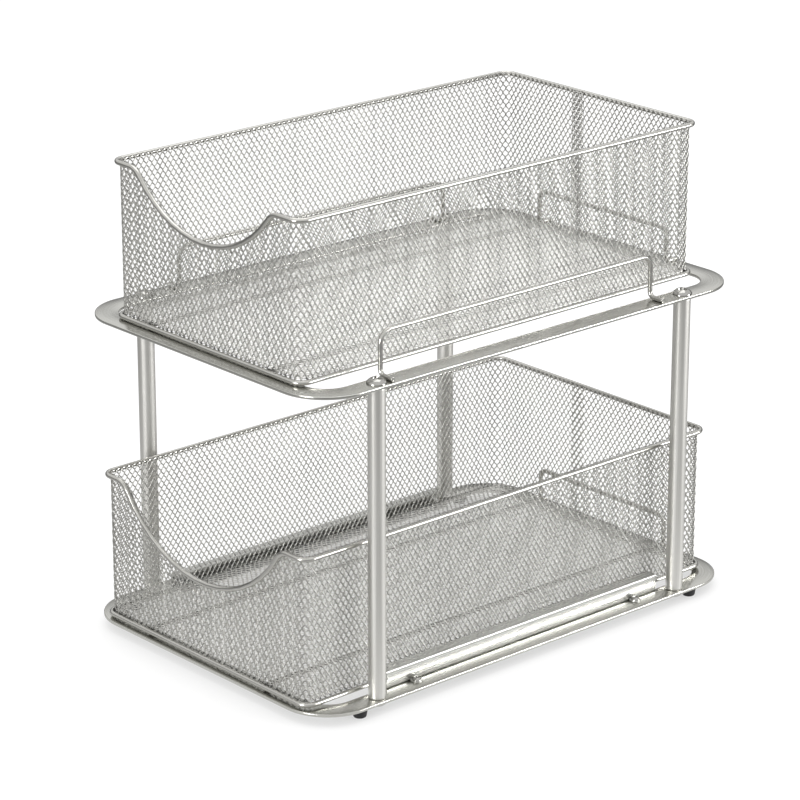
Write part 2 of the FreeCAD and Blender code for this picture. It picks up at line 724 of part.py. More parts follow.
    def build(self):
        self.rims()
        self.floor_wires()
        self.walls()
        self.corners()
        self.floor()


# The whole organizer.

ring("lower_ring", "foot_height", rail_holes=True)
ring("upper_ring", UPPER_UNDERSIDE, rail_holes=False)
for end, sign_y in ENDS:
    for side, sign_x in SIDES:
        post(end, sign_y, side, sign_x)
        foot(end, sign_y, side, sign_x)
fasteners()
rail("right", 0)
rail("left", 180)
guards()
Basket("upper", UPPER_HALF_WIDTH, f"{UPPER_TOP} + seat_gap").build()
Basket("lower", LOWER_HALF_WIDTH, f"{LOWER_TOP} + rail_sheet + seat_gap").build()
doc.recompute()

for thing in doc.Objects:
    faults = {"Invalid", "Error"} & set(thing.State)
    if faults:
        raise RuntimeError(f"{thing.Label} did not build: {sorted(faults)}")
for thing in nodes:
    if thing.Shape.isNull() or not thing.Shape.isValid() or not thing.Shape.Solids:
        raise RuntimeError(f"{thing.Label} has no sound solid")

os.makedirs("parts", exist_ok=True)
for thing in nodes:
    thing.Shape.exportStep(os.path.join("parts", f"{thing.Label}.step"))
print(f"{len(nodes)} sub-parts written")
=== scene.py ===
# %% [markdown]
# Two tier under sink organizer
#
# Two open mesh baskets slide forward, like drawers, in a frame of two flat strip rings and four posts.
# Everything is plated steel, so the whole look is metal: thin wire with bright lines, satin strip, and a
# fine mesh that is half holes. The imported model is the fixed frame, in metres, and each surface made here
# takes its place from that frame, so nothing has to be fitted by eye afterwards.

# %% Load the frame
import math

import bpy
import numpy as np
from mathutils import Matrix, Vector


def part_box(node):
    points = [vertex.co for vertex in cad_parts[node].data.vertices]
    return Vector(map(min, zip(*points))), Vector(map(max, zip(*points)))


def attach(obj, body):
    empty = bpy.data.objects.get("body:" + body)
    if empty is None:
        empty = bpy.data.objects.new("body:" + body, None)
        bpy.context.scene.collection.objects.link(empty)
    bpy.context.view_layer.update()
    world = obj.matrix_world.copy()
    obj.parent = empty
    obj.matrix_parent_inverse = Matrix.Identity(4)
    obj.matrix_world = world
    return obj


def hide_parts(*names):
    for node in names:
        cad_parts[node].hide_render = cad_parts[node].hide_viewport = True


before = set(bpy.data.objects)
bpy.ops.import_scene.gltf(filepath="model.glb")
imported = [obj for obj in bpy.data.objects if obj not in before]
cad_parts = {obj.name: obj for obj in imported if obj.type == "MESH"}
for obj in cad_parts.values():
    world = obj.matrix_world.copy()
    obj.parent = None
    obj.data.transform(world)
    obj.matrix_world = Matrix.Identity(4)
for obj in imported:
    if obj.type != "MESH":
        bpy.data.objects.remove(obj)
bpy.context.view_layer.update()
MM = 0.001

# %% [markdown]
# The camera
#
# A product photograph is taken from far away with a long lens, so that near and far sides look alike in
# size. The camera could be aimed with a constraint, but three numbers say it better: it stands back from a
# target by a distance, along a direction given by an azimuth and an elevation.

# %% Camera
VIEW_AZIMUTH = math.radians(48.4)
VIEW_ELEVATION = math.radians(19.6)
VIEW_DISTANCE = 2.2
VIEW_TARGET = np.array((-0.0130, 0.0, 0.1355))
SENSOR_WIDTH = 36.0
LENS = 154.9


def direction(azimuth, elevation):
    """Unit vector that starts at the front, turns by the azimuth to the right and rises by the elevation."""
    level = math.cos(elevation)
    return np.array((math.sin(azimuth) * level, -math.cos(azimuth) * level, math.sin(elevation)))


lens = bpy.data.cameras.new("camera")
lens.sensor_width = SENSOR_WIDTH
lens.lens = LENS
camera = bpy.data.objects.new("camera", lens)
camera.location = VIEW_TARGET + VIEW_DISTANCE * direction(VIEW_AZIMUTH, VIEW_ELEVATION)
camera.rotation_euler = (math.pi / 2 - VIEW_ELEVATION, 0.0, VIEW_AZIMUTH)
bpy.context.scene.collection.objects.link(camera)
bpy.context.scene.camera = camera
print("camera at", np.round(np.array(camera.location), 3))

# %% [markdown]
# From arrays to a piece
#
# Blender can build shapes with modifiers and operators, but a shape that is known as a formula is easier to
# check as an array of points. Each piece below is worked out whole with numpy. One function then stores the
# points and faces in a mesh, turns the faces outwards, and says which body the piece rides on and which
# nodes of the frame it stands for.

# %% Store a surface as a piece
SHARP = math.radians(40)


def outward(points, faces):
    """The faces, turned round if the volume they enclose comes out negative.

    The volume is the sum, over all triangles, of a sixth of the product of the three corners."""
    volume = 0.0
    for group in faces:
        for k in range(1, group.shape[1] - 1):
            a, b, c = points[group[:, 0]], points[group[:, k]], points[group[:, k + 1]]
            volume += np.einsum("ij,ij->", a, np.cross(b, c))
    return [group[:, ::-1] for group in faces] if volume < 0 else faces


def make_piece(name, points, faces, body, replaced=(), uv=None, uv_name="run", sharp=SHARP):
    """One mesh object from points in metres and a list of face arrays, each of one number of corners."""
    faces = outward(points, [np.asarray(group) for group in faces])
    corners = np.concatenate([group.ravel() for group in faces])
    sizes = np.concatenate([np.full(len(group), group.shape[1]) for group in faces])
    mesh = bpy.data.meshes.new(name)
    mesh.vertices.add(len(points))
    mesh.vertices.foreach_set("co", np.ascontiguousarray(points, np.float32).ravel())
    mesh.loops.add(len(corners))
    mesh.loops.foreach_set("vertex_index", corners.astype(np.int32))
    mesh.polygons.add(len(sizes))
    mesh.polygons.foreach_set("loop_start", (np.cumsum(sizes) - sizes).astype(np.int32))
    mesh.polygons.foreach_set("use_smooth", np.full(len(sizes), True))
    mesh.update(calc_edges=True)
    if sharp:
        mesh.set_sharp_from_angle(angle=sharp)
    if uv is not None:
        mesh.uv_layers.new(name=uv_name).uv.foreach_set("vector", uv[corners].astype(np.float32).ravel())
    thing = bpy.data.objects.new(name, mesh)
    bpy.context.scene.collection.objects.link(thing)
    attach(thing, body)
    if replaced:
        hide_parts(*replaced)
    print(name, len(points), "points", int((sizes - 2).sum()), "triangles")
    return thing


def node_box(node):
    """Lowest and highest corner of a node of the frame, as arrays."""
    low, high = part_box(node)
    return np.array(low), np.array(high)

# %% [markdown]
# A profile carried along a path
#
# Strip, tube and wire are all the same idea: a flat profile that is drawn along a path. A curve object with
# a bevel would do it too, but then its ends and its UV map are out of reach. Here a path is a row of
# stations, each with a point and two directions square to the path. A bend turns those directions with it,
# so that the profile never twists.

# %% Paths
BEND_STEP = math.radians(7.5)


def turned(vector, axis, angles):
    """The vector turned about the axis by each angle: its part across the axis turns, the rest stays."""
    c, s = np.cos(angles)[:, None], np.sin(angles)[:, None]
    return vector * c + np.cross(axis, vector) * s + axis * (axis @ vector) * (1 - c)


def bent_path(corners, radii, over, closed=False):
    """Straight runs between corners, with each corner rounded by an arc that touches both runs.

    Returns points, across and over. Over starts as given and turns with every bend, and across is square
    to it and to the path."""
    corners = [np.asarray(corner, float) for corner in corners]
    if closed:
        start = (corners[-1] + corners[0]) / 2
        corners = [start, *corners, start]
    else:
        radii = list(radii)[1:-1]
    over = np.asarray(over, float)
    first = corners[1] - corners[0]
    points, alongs, overs = [corners[0][None]], [first[None]], [over[None]]
    for before, corner, after, radius in zip(corners, corners[1:], corners[2:], radii):
        a = (corner - before) / np.linalg.norm(corner - before)
        b = (after - corner) / np.linalg.norm(after - corner)
        axis = np.cross(a, b)
        turn = math.atan2(np.linalg.norm(axis), a @ b)
        axis = axis / np.linalg.norm(axis)
        inward = np.cross(axis, a)
        angles = np.linspace(0.0, turn, 2 + int(turn / BEND_STEP))
        centre = corner - a * radius * math.tan(turn / 2) + inward * radius
        points.append(centre + turned(-inward * radius, axis, angles))
        alongs.append(turned(a, axis, angles))
        overs.append(turned(over, axis, angles))
        over = overs[-1][-1]
    if not closed:
        points.append(corners[-1][None])
        alongs.append((corners[-1] - corners[-2])[None])
        overs.append(over[None])
    points, alongs, overs = (np.concatenate(rows) for rows in (points, alongs, overs))
    alongs = alongs / np.linalg.norm(alongs, axis=1, keepdims=True)
    return points, np.cross(alongs, overs), overs


def rounded_rectangle(half_x, half_y, radius, steps):
    """Points of a rounded rectangle, counterclockwise, and the outward direction at each.

    Each corner is a quarter circle about its own centre, so a point is that centre plus the radius times
    the direction."""
    angles = (np.arange(4)[:, None] + np.linspace(0.0, 1.0, steps + 1)).ravel() * math.pi / 2
    sign_x = np.repeat((1, -1, -1, 1), steps + 1)
    sign_y = np.repeat((1, 1, -1, -1), steps + 1)
    normals = np.stack([np.cos(angles), np.sin(angles)], 1)
    centres = np.stack([sign_x * (half_x - radius), sign_y * (half_y - radius)], 1)
    return centres + radius * normals, normals


def circle(radius, sides):
    """Points of a circle, counterclockwise."""
    angles = np.arange(sides) * 2 * math.pi / sides
    return radius * np.stack([np.cos(angles), np.sin(angles)], 1)

# %% Surfaces from a profile and a path
END_STEPS = 4
END_HOLD = 1.5


def grid_faces(rows, columns, close_rows=False):
    """Four corners for each cell of a grid whose columns run round a closed profile."""
    i = np.arange(rows if close_rows else rows - 1)[:, None]
    j = np.arange(columns)[None, :]
    after_i, after_j = (i + 1) % rows, (j + 1) % columns
    corners = np.broadcast_arrays(i * columns + j, after_i * columns + j,
                                  after_i * columns + after_j, i * columns + after_j)
    return np.stack(corners, -1).reshape(-1, 4)


def run_map(points, rows, columns):
    """A UV map in metres: along the path, and round the profile from its first point."""
    stations = points.reshape(rows, columns, 3)
    middle = stations.mean(1)
    along = np.concatenate([[0.0], np.cumsum(np.linalg.norm(np.diff(middle, axis=0), axis=1))])
    step = np.linalg.norm(np.diff(stations[0], axis=0), axis=1)
    around = np.concatenate([[0.0], np.cumsum(step)])
    return np.stack(np.broadcast_arrays(along[:, None], around[None, :]), -1).reshape(-1, 2)


def carried(profile, path, closed=False, scale=None):
    """The profile at every station of a path: point + scale * (x * across + y * over)."""
    points, across, over = path
    size = np.ones(len(points)) if scale is None else scale
    flat = profile[None, :, :] * size[:, None, None]
    solid = points[:, None] + flat[..., :1] * across[:, None] + flat[..., 1:] * over[:, None]
    rows, columns = solid.shape[:2]
    faces = [grid_faces(rows, columns, closed)]
    if not closed:
        ends = np.arange(columns)
        faces.append(np.stack([ends[::-1], (rows - 1) * columns + ends]))
    solid = solid.reshape(-1, 3)
    return solid, faces, run_map(solid, rows, columns)


def rounded_ends(path, radius, rounding):
    """The path with a few more stations at each end, and how far each shrinks the profile there.

    The edge is a quarter circle: radius - rounding + rounding * sin(angle). One station more stands a little
    past it, so that the long straight stretch keeps its own normals and mirrors the room evenly."""
    points, across, over = path
    along = np.cross(over, across)
    angles = np.linspace(0.0, math.pi / 2, END_STEPS)
    inset = rounding * np.append(1 - np.cos(angles), END_HOLD)[:, None]
    shrink = np.append(1 - rounding * (1 - np.sin(angles)) / radius, 1.0)
    points = np.concatenate([
        points[0] + inset * along[0], points[1:-1], points[-1] - inset[::-1] * along[-1]])
    repeats = np.ones(len(across), int)
    repeats[[0, -1]] = len(shrink)
    across, over = np.repeat(across, repeats, 0), np.repeat(over, repeats, 0)
    scale = np.concatenate([shrink, np.ones(len(points) - 2 * len(shrink)), shrink[::-1]])
    return (points, across, over), scale


def joined(shapes):
    """Several surfaces as one: the faces of each count on from the points before it."""
    starts = np.cumsum([0] + [len(shape[0]) for shape in shapes])
    points = np.concatenate([shape[0] for shape in shapes])
    faces = [group + start for shape, start in zip(shapes, starts) for group in shape[1]]
    uv = np.concatenate([shape[2] for shape in shapes])
    return points, faces, uv

# %% [markdown]
# The strip rings
#
# Each ring is a flat steel strip that lies flat, bent in its own plane into a rounded rectangle and welded
# shut. Its long edges are a little rounded from rolling, which draws a bright line round the ring. So the
# profile is a small rounded rectangle, carried round a large one.

# %% Rings
STRIP_WIDTH = 15.0 * MM
STRIP_EDGE = 0.45 * MM
STRIP_EDGE_STEPS = 3
RING_CORNER = 32.5 * MM
RING_STEPS = 16


def ring(node):
    """A rounded rectangle as small as the strip's section, carried round one as large as the ring."""
    low, high = node_box(node)
    half_x, half_y, thick = high[0] - STRIP_WIDTH / 2, high[1] - STRIP_WIDTH / 2, high[2] - low[2]
    plan, normals = rounded_rectangle(half_x, half_y, RING_CORNER - STRIP_WIDTH / 2, RING_STEPS)
    points = np.column_stack([plan, np.full(len(plan), (low[2] + high[2]) / 2)])
    across = np.column_stack([normals, np.zeros(len(plan))])
    over = np.broadcast_to((0.0, 0.0, 1.0), points.shape)
    profile = rounded_rectangle(STRIP_WIDTH / 2, thick / 2, STRIP_EDGE, STRIP_EDGE_STEPS)[0]
    points, faces, uv = carried(profile, (points, across, over), closed=True)
    return make_piece(f"{node}_strip", points, faces, "frame", (node,), uv)


rings = [ring(node) for node in ("lower_ring", "upper_ring")]

# %% [markdown]
# The posts and the feet
#
# A post is a length of tube whose end edges are rounded over where it was cut, and a foot is a moulded
# rubber button with a soft edge. Both are circles carried up an axis, bigger or smaller at each station, so
# the same function makes them.

# %% Posts and feet
POST_EDGE = 0.9 * MM
POST_SIDES = 48
FOOT_EDGE = 1.2 * MM
FOOT_SIDES = 32
FOOT_SHRINK = 0.8


def upright(low, high):
    """A straight path up the middle of a box."""
    x, y, _ = (low + high) / 2
    return bent_path([(x, y, low[2]), (x, y, high[2])], (0, 0), (0, -1, 0))


def post_or_foot(node, ending, edge, sides, low_share=1.0):
    """A circle carried up the middle of the node's box, with both end edges rounded.

    Its radius grows evenly from a share of the full one at the floor. A post is full all the way."""
    low, high = node_box(node)
    radius = (high[0] - low[0]) / 2
    path, scale = rounded_ends(upright(low, high), radius, edge)
    height = (path[0][:, 2] - low[2]) / (high[2] - low[2])
    scale = scale * (low_share + (1 - low_share) * height)
    points, faces, uv = carried(circle(radius, sides), path, scale=scale)
    return make_piece(f"{node}_{ending}", points, faces, "frame", (node,), uv)


PLACES = [f"{end}_{side}" for end in ("front", "rear") for side in ("left", "right")]
posts = [post_or_foot(f"post_{place}", "tube", POST_EDGE, POST_SIDES) for place in PLACES]
feet = [post_or_foot(f"foot_{place}", "rubber", FOOT_EDGE, FOOT_SIDES, FOOT_SHRINK)
        for place in PLACES]

# %% [markdown]
# Bent wire guards
#
# A guard is one wire bent into a low gate: two legs, a bar between them, and a short foot at the end of each
# leg that lies on the strip and is welded there. Its path has six corners, and four of them are bends.

# %% Guards
GUARD_WIRE = 3.0 * MM
SIDE_BEND = 8.0 * MM
REAR_BEND = 5.0 * MM
FOOT_BEND = 3.5 * MM
WIRE_EDGE = 0.35 * MM
WIRE_SIDES = 24


def guard(node, outward_axis):
    """The gate in the box of its node. Its feet point along outward_axis, which is 0 for X and 1 for Y."""
    low, high = node_box(node)
    radius = GUARD_WIRE / 2
    along_axis = 1 - outward_axis
    points_low = abs(low[outward_axis]) > abs(high[outward_axis])
    tip, leg = (low, high) if points_low else (high, low)
    tip_at = tip[outward_axis]
    leg_at = leg[outward_axis] + (-radius if points_low else radius)
    near, far = low[along_axis] + radius, high[along_axis] - radius
    foot_z, top_z = low[2] + radius, high[2] - radius
    corners = np.empty((6, 3))
    corners[:, outward_axis] = (tip_at, leg_at, leg_at, leg_at, leg_at, tip_at)
    corners[:, along_axis] = (near, near, near, far, far, far)
    corners[:, 2] = (foot_z, foot_z, top_z, top_z, foot_z, foot_z)
    bend = REAR_BEND if outward_axis else SIDE_BEND
    path = bent_path(corners, (0, FOOT_BEND, bend, bend, FOOT_BEND, 0), (0, 0, 1))
    path, scale = rounded_ends(path, radius, WIRE_EDGE)
    points, faces, uv = carried(circle(radius, WIRE_SIDES), path, scale=scale)
    return make_piece(f"{node}_wire", points, faces, "frame", (node,), uv)


GUARD_AXES = {"upper_guard_left": 0, "upper_guard_right": 0, "upper_guard_rear": 1, "lower_guard_rear": 1}
guards = [guard(node, axis) for node, axis in GUARD_AXES.items()]

# %% [markdown]
# The rims and the floor wires of the baskets
#
# The bottom rim is a flat loop of wire. The top rim is the same loop with a dip at the front, so that a hand
# can reach in: a large hollow arc between two small rounded shoulders. Each arc is again a bend at a corner,
# where the corner of the large arc is the point in which the two slopes beside it would meet.

# %% Rims
RIM_WIRE = 3.2 * MM
RIM_CORNER = 9.0 * MM
SCOOP_FILLET = 11.0 * MM
SHOULDER = {"upper": 10.6 * MM, "lower": 8.2 * MM}


class Scoop:
    """The dip of a front rim, measured on the middle of its wire."""

    def __init__(self, half_width, depth):
        self.half_width, self.depth = half_width, depth
        self.radius = (half_width ** 2 + depth ** 2) / (2 * depth) - SCOOP_FILLET
        self.turn_x = half_width * self.radius / (self.radius + SCOOP_FILLET)
        self.turn = math.asin(self.turn_x / self.radius)

    def drop(self, x):
        """How far the wire lies below its straight part: nothing, a shoulder arc or the hollow arc."""
        across = np.abs(x)
        beside = np.clip(self.half_width - across, 0.0, SCOOP_FILLET)
        shoulder = SCOOP_FILLET - np.sqrt(SCOOP_FILLET ** 2 - beside ** 2)
        inside = np.clip(across, 0.0, self.turn_x)
        hollow = self.depth - self.radius + np.sqrt(self.radius ** 2 - inside ** 2)
        return np.where(across >= self.turn_x, shoulder, hollow)

    def corners(self, y, z):
        """The three corners of the dip, left to right, on a straight rim at height z."""
        turn_drop = float(self.drop(self.turn_x))
        side = self.turn_x + turn_drop / math.tan(self.turn)
        deep = turn_drop + self.turn_x * math.tan(self.turn)
        return [(-side, y, z), (0.0, y, z - deep), (side, y, z)]


class Basket:
    """The measures of one basket, read from the boxes of its rims."""

    def __init__(self, tier):
        self.tier, self.body = tier, f"{tier}_basket"
        self.low = node_box(f"{tier}_bottom_rim")[0]
        top_low, self.high = node_box(f"{tier}_top_rim")
        self.bottom_z = self.low[2] + RIM_WIRE / 2
        self.top_z = self.high[2] - RIM_WIRE / 2
        self.middle_y = (self.low[1] + self.high[1]) / 2
        self.half_x = self.high[0] - RIM_WIRE / 2
        self.half_y = (self.high[1] - self.low[1]) / 2 - RIM_WIRE / 2
        depth = self.high[2] - top_low[2] - RIM_WIRE
        self.scoop = Scoop(self.high[0] - RIM_CORNER - SHOULDER[tier], depth)

    def loop_corners(self, z):
        """Rear left, front left, front right and rear right corner of the wire's middle line."""
        x, front, rear = self.half_x, self.middle_y - self.half_y, self.middle_y + self.half_y
        return [(-x, rear, z), (-x, front, z), (x, front, z), (x, rear, z)]


def rim(basket, level):
    """A closed loop of wire. The top one takes in the three corners of the scoop at its front."""
    top = level == "top"
    corners = basket.loop_corners(basket.top_z if top else basket.bottom_z)
    bend = RIM_CORNER - RIM_WIRE / 2
    radii = [bend] * 4
    if top:
        front_y, z = corners[1][1:]
        corners[2:2] = basket.scoop.corners(front_y, z)
        radii[2:2] = [SCOOP_FILLET, basket.scoop.radius, SCOOP_FILLET]
    path = bent_path(corners, radii, (0, 0, 1), closed=True)
    points, faces, uv = carried(circle(RIM_WIRE / 2, WIRE_SIDES), path, closed=True)
    node = f"{basket.tier}_{level}_rim"
    return make_piece(f"{node}_wire", points, faces, basket.body, (node,), uv)


baskets = [Basket(tier) for tier in ("upper", "lower")]
rims = [rim(basket, level) for basket in baskets for level in ("top", "bottom")]

# %% Floor wires
def floor_wire(basket, side):
    """A straight wire from front to rear under the floor, with its cut ends rounded."""
    node = f"{basket.tier}_floor_wire_{side}"
    low, high = node_box(node)
    radius = (high[2] - low[2]) / 2
    x, z = (low[0] + high[0]) / 2, (low[2] + high[2]) / 2
    path = bent_path([(x, low[1], z), (x, high[1], z)], (0, 0), (0, 0, 1))
    path, scale = rounded_ends(path, radius, WIRE_EDGE)
    points, faces, uv = carried(circle(radius, WIRE_SIDES), path, scale=scale)
    return make_piece(f"{node}_rod", points, faces, basket.body, (node,), uv)


floor_wires = [floor_wire(basket, side) for basket in baskets for side in ("left", "right")]

# %% [markdown]
# Expanded mesh
#
# The walls and floors are expanded steel: a sheet is slit in rows and pulled until the slits open into
# upright diamonds. An image or a Boolean could cut the holes, but the sheet is a tiling of equal cells, so
# one cell is written down and repeated over a whole lattice at once. A cell has four corners, which it
# shares with its neighbours, and a six sided hole. The corners stand up on both faces of the sheet and the
# hole's edge lies between them, so that with smooth shading a strand looks round. The wall mesh is left
# raised, as it comes from stretching, and the floor mesh is rolled flatter and wider afterwards.

# %% One lattice of mesh cells
WALL_CELL = np.array((4.15, 6.0)) * MM
FLOOR_CELL = np.array((3.85, 5.6)) * MM
WALL_STRAND = 1.16 * MM
FLOOR_STRAND = 1.6 * MM
BOND = 0.9 * MM
SHEET_THICK = 0.9 * MM
FLOOR_THICK = 0.75 * MM
STRAND_EDGE = math.radians(80)
CORNER_TURNS = ((1, 0), (0, 1), (-1, 0), (0, -1))
CELL_POINTS = 14
HOLE_START = 8
SAME_PLACE = 0.002 * MM
NO_AREA = 1e-4 * MM ** 2


def lattice(cell, u_low, u_high, v_low, v_high):
    """Middles of diamonds over a range of u and v; every second row is set over by half a diamond."""
    width, half_rise = cell[0], cell[1] / 2
    rows = np.arange(math.floor(v_low / half_rise), math.ceil(v_high / half_rise) + 1)
    columns = np.arange(math.floor(u_low / width) - 1, math.ceil(u_high / width) + 2)
    row, column = np.meshgrid(rows, columns, indexing="ij")
    u = (column + 0.5 * (row % 2)) * width
    return np.stack([u, row * half_rise], -1).reshape(-1, 2)


def mesh_cells(cell, strand, thick, middles):
    """Points (cell, 14, 3) as u, v and height off the sheet.

    A cell has 4 front corners, 4 back corners and 6 points of the hole. The hole is as much smaller than the
    diamond as half a strand is of the way from the middle to a side."""
    half_u, half_v = cell / 2
    apart = half_u * half_v / math.hypot(half_u, half_v)
    open_share = 1 - strand / 2 / apart
    corners = np.array(CORNER_TURNS, float) * (half_u, half_v)
    side_u = half_u - strand / 2
    flank_v = min(BOND / 2, half_v * open_share / 2)
    tip_v = half_v * open_share
    hole = np.array(((side_u, flank_v), (0, tip_v), (-side_u, flank_v),
                     (-side_u, -flank_v), (0, -tip_v), (side_u, -flank_v)))
    flat = np.concatenate([corners, corners, hole])
    height = np.repeat((thick / 2, -thick / 2, 0.0), (4, 4, 6))
    flat = middles[:, None, :] + flat[None]
    return np.concatenate([flat, np.broadcast_to(height[:, None], flat.shape[:2] + (1,))], -1)


FRONT_FACES = np.array(((0, 1, 9), (0, 9, 8), (1, 2, 10), (1, 10, 9), (2, 11, 10),
                        (2, 3, 12), (2, 12, 11), (3, 0, 13), (3, 13, 12), (0, 8, 13)))
BACK_FACES = np.where(FRONT_FACES < 4, FRONT_FACES + 4, FRONT_FACES)[:, ::-1]
CELL_FACES = np.concatenate([FRONT_FACES, BACK_FACES])


def woven(cells, edge_test):
    """One surface from many cells: equal points become one, and faces with no area are left out.

    Points that lie on the sheet's edge lose their height, so the two faces of the sheet meet there."""
    points = cells.reshape(-1, 3)
    points[edge_test(points), 2] = 0.0
    keys = np.round(points / SAME_PLACE).astype(np.int64)
    _, first, where = np.unique(keys, axis=0, return_index=True, return_inverse=True)
    faces = (np.arange(len(cells))[:, None, None] * CELL_POINTS + CELL_FACES[None]).reshape(-1, 3)
    faces = where.ravel()[faces]
    points = points[first]
    a, b, c = (points[faces[:, k]] for k in range(3))
    area = np.linalg.norm(np.cross(b - a, c - a), axis=1)
    return points, faces[area > NO_AREA]

# %% [markdown]
# The mesh wall of a basket
#
# One long band of mesh goes round the inside of both rims and laps over itself behind, where it is
# spot welded. On the band, u is the way round and v is the height. Cells that reach past the rims or the
# scoop are cut off there by moving their points back to the edge, and then the flat band is bent round the
# rounded corners of the basket.

# %% Mesh walls
SEAM_X = -12.0 * MM
SEAM_LAP = 10.0 * MM
LAP_STEP = 0.75 * MM
RIM_COVER = 1.5 * MM
WALL_CORNER_STEPS = 8
FACES_FRONT = -0.99


class WallLine:
    """The band's middle line in plan, as a function of the way round from the seam, against the clock."""

    def __init__(self, basket):
        inset = RIM_WIRE / 2 + SHEET_THICK / 2
        half_x, half_y = basket.half_x - inset, basket.half_y - inset
        radius = RIM_CORNER - RIM_WIRE - SHEET_THICK / 2
        plan, normals = rounded_rectangle(half_x, half_y, radius, WALL_CORNER_STEPS)
        past_corner = -(WALL_CORNER_STEPS + 1)
        plan = np.roll(plan, past_corner, 0) + (0.0, basket.middle_y)
        normals = np.roll(normals, past_corner, 0)
        seam = np.array(((SEAM_X, basket.middle_y + half_y),))
        self.points = np.concatenate([seam, plan, seam])
        self.normals = np.concatenate([((0.0, 1.0),), normals, ((0.0, 1.0),)])
        steps = np.linalg.norm(np.diff(self.points, axis=0), axis=1)
        self.way = np.concatenate([[0.0], np.cumsum(steps)])
        self.length = self.way[-1]

    def at(self, u):
        """Points and outward directions; past the end of the line, the lap goes round again."""
        u = u % self.length
        point, normal = (np.stack([np.interp(u, self.way, rows[:, k]) for k in range(2)], -1)
                         for rows in (self.points, self.normals))
        return point, normal / np.linalg.norm(normal, axis=-1, keepdims=True)


def mesh_wall(basket):
    """A flat band of cells, cut to the rims and bent round: point of the line plus height times outward."""
    line = WallLine(basket)
    length = line.length + SEAM_LAP
    low, high = basket.bottom_z - RIM_COVER, basket.top_z + RIM_COVER

    def top(u):
        """The upper edge of the band: the middle of the top rim, and a little more."""
        point, normal = line.at(u)
        in_front = normal[..., 1] < FACES_FRONT
        return high - np.where(in_front, basket.scoop.drop(point[..., 0]), 0.0)

    middles = lattice(WALL_CELL, 0.0, length, low, high)
    cells = mesh_cells(WALL_CELL, WALL_STRAND, SHEET_THICK, middles)
    hole = cells[:, HOLE_START:]
    inside_u = (hole[..., 0].max(1) > 0.0) & (hole[..., 0].min(1) < length)
    inside_v = (hole[..., 1].max(1) > low) & (hole[..., 1] < top(np.clip(hole[..., 0], 0.0, length))).any(1)
    cells = cells[inside_u & inside_v]
    cells[..., 0] = np.clip(cells[..., 0], 0.0, length)
    cells[..., 1] = np.clip(cells[..., 1], low, top(cells[..., 0]))

    def on_edge(points):
        """True at the ends of the band and at its lower and upper edge."""
        u, v = points[:, 0], points[:, 1]
        return (u <= 0.0) | (u >= length) | (v <= low) | (v >= top(u))

    flat, faces = woven(cells, on_edge)
    u, v, height = flat.T
    point, normal = line.at(u)
    lapped = np.clip((u - line.length + SEAM_LAP) / SEAM_LAP, 0.0, 1.0)
    off = height - LAP_STEP * lapped
    points = np.column_stack([point + off[:, None] * normal, v])
    uv = np.column_stack([u / length, (v - low) / (high - low)])
    nodes = [f"{basket.tier}_mesh_{part}" for part in ("front", "rear", "left", "right", "corners")]
    return make_piece(f"{basket.tier}_mesh_wall", points, [faces], basket.body, nodes,
                      uv, "OFBake", sharp=None)


walls = [mesh_wall(basket) for basket in baskets]

# %% [markdown]
# The mesh floor of a basket
#
# The floor is a flat sheet of such mesh with its diamonds lying across the basket. Rolling has left its
# strands wider and with an edge, so it looks closer than the walls, and lighter, partly from the light above
# and partly from a paler colour painted on as light. Its own edge follows the inside of the bottom rim,
# corners included, and its cells are cut there in the same way as in the walls.

# %% Mesh floors
AT_EDGE = 1.0005
NO_REACH = 1e-9


def mesh_floor(basket):
    """A flat field of cells, cut to a rounded rectangle between the bottom rim's middle and its inside."""
    node = f"{basket.tier}_mesh_floor"
    low, high = node_box(node)
    half_x, half_y = basket.half_x - RIM_WIRE / 4, basket.half_y - RIM_WIRE / 4
    radius = RIM_CORNER - RIM_WIRE * 3 / 4

    def pulled_in(across, along):
        """Points moved back to the nearest place of a rounded rectangle: u is along Y, v is along X."""
        core_x = np.clip(across, radius - half_x, half_x - radius)
        core_y = np.clip(along, radius - half_y, half_y - radius)
        away = np.stack([across - core_x, along - core_y], -1)
        reach = np.linalg.norm(away, axis=-1, keepdims=True)
        away = away * np.minimum(1.0, radius / np.maximum(reach, NO_REACH))
        return core_x + away[..., 0], core_y + away[..., 1], reach[..., 0] >= radius

    middles = lattice(FLOOR_CELL, -half_y, half_y, -half_x, half_x)
    cells = mesh_cells(FLOOR_CELL, FLOOR_STRAND, FLOOR_THICK, middles)
    outside = pulled_in(cells[..., 1], cells[..., 0])[2]
    cells = cells[~outside[:, HOLE_START:].all(1)]
    x, y, _ = pulled_in(cells[..., 1], cells[..., 0])
    cells[..., 0], cells[..., 1] = y, x

    def on_edge(points):
        """True at the edge of the sheet and just inside it."""
        return pulled_in(points[:, 1] * AT_EDGE, points[:, 0] * AT_EDGE)[2]

    flat, faces = woven(cells, on_edge)
    y, x, height = flat.T
    points = np.column_stack([x, y + basket.middle_y, (low[2] + high[2]) / 2 + height])
    uv = np.column_stack([(x + half_x) / (2 * half_x), (y + half_y) / (2 * half_y)])
    return make_piece(f"{node}_sheet", points, [faces], basket.body, (node,),
                      uv, "OFBake", STRAND_EDGE)


floors = [mesh_floor(basket) for basket in baskets]

# %% [markdown]
# The folded rails
#
# The lower basket runs in two channels that are folded from sheet: a floor that carries its rim, an upright
# web, and a lip that keeps the basket from tipping when it is pulled out. Two tabs hold each channel down.
# A fold in sheet metal is never sharp, so the section is a bent middle line with half a sheet on each side.

